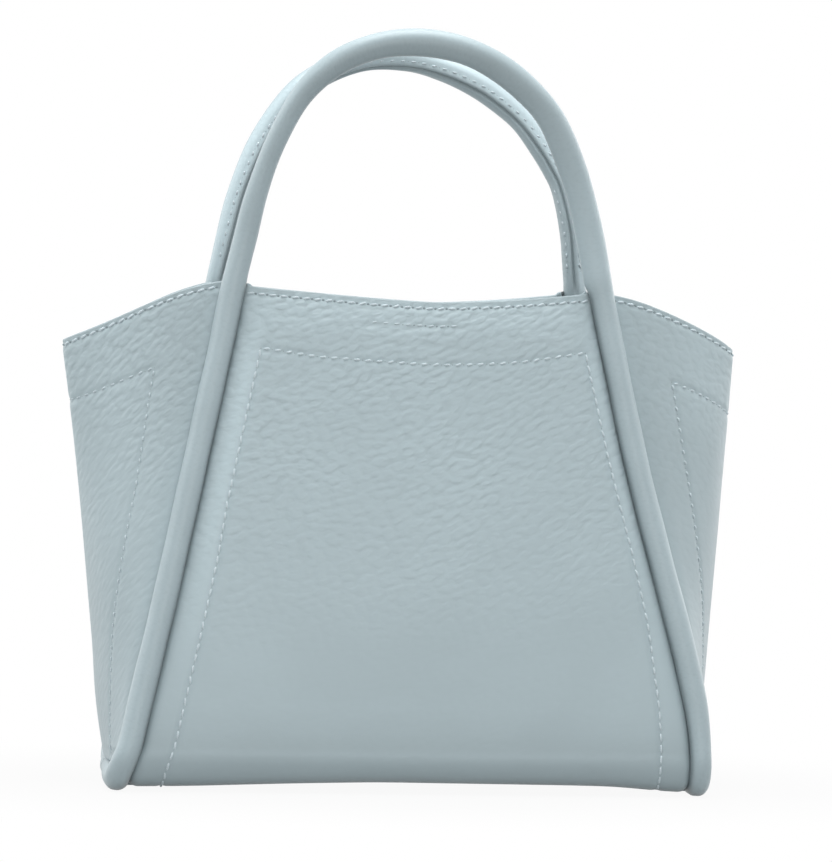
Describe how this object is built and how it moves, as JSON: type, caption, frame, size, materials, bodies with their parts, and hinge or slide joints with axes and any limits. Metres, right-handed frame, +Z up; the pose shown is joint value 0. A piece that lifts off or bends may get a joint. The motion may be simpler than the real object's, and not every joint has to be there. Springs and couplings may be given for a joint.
{
  "type": "tote bag",
  "caption": "Small leather tote bag with trapezoid front and back, winged side gussets and two rolled handles that run down the seams as piping.",
  "frame": {"origin": "on the floor, under the middle of the bag's outline", "axes": "+X to the bag's right seen from the front, +Y to its back, +Z up"},
  "size_m": [0.2412, 0.0982, 0.2647],
  "materials": {
    "pebbled_leather": "soft pebbled grain, low sheen",
    "tube_leather": "stretched smooth, soft sheen",
    "facing_leather": "fine grain, low sheen",
    "lining_cloth": "matt woven",
    "base_board": "matt",
    "tube_core": "matt cord",
    "snap_metal": "polished"
  },
  "bodies": {
    "bag": {"front_panel": "pebbled_leather", "back_panel": "pebbled_leather", "base_panel": "pebbled_leather", "left_gusset": "pebbled_leather", "right_gusset": "pebbled_leather", "front_facing": "facing_leather", "back_facing": "facing_leather", "left_facing": "facing_leather", "right_facing": "facing_leather", "front_lining": "lining_cloth", "back_lining": "lining_cloth", "left_lining": "lining_cloth", "right_lining": "lining_cloth", "base_lining": "lining_cloth", "base_board": "base_board", "left_seam_tube": "tube_leather", "right_seam_tube": "tube_leather", "left_seam_core": "tube_core", "right_seam_core": "tube_core", "front_handle_left_flex": "tube_leather", "front_handle_right_flex": "tube_leather", "back_handle_left_flex": "tube_leather", "back_handle_right_flex": "tube_leather", "snap_socket": "snap_metal"},
    "front_handle_arch": {"front_handle": "tube_leather", "front_handle_core": "tube_core"},
    "back_handle_arch": {"back_handle": "tube_leather", "back_handle_core": "tube_core"},
    "tab": {"closing_tab": "facing_leather", "snap_stud": "snap_metal", "snap_stud_washer": "snap_metal"}
  },
  "joints": [
    {"name": "front_handle_tilt", "type": "hinge", "parent": "bag", "child": "front_handle_arch", "pos_m": [0, -0.0255, 0.1755], "axis": [1, 0, 0], "range_deg": [-24, 60], "stiffness_Nm_per_rad": 0.12, "deforming": ["front_handle_left_flex", "front_handle_right_flex"]},
    {"name": "back_handle_tilt", "type": "hinge", "parent": "bag", "child": "back_handle_arch", "pos_m": [0, 0.0255, 0.1755], "axis": [-1, 0, 0], "range_deg": [-24, 60], "stiffness_Nm_per_rad": 0.12, "deforming": ["back_handle_left_flex", "back_handle_right_flex"]},
    {"name": "tab_swing", "type": "hinge", "parent": "bag", "child": "tab", "pos_m": [0, -0.02408, 0.16409], "axis": [1, 0, 0], "range_deg": [0, 80]}
  ]
}
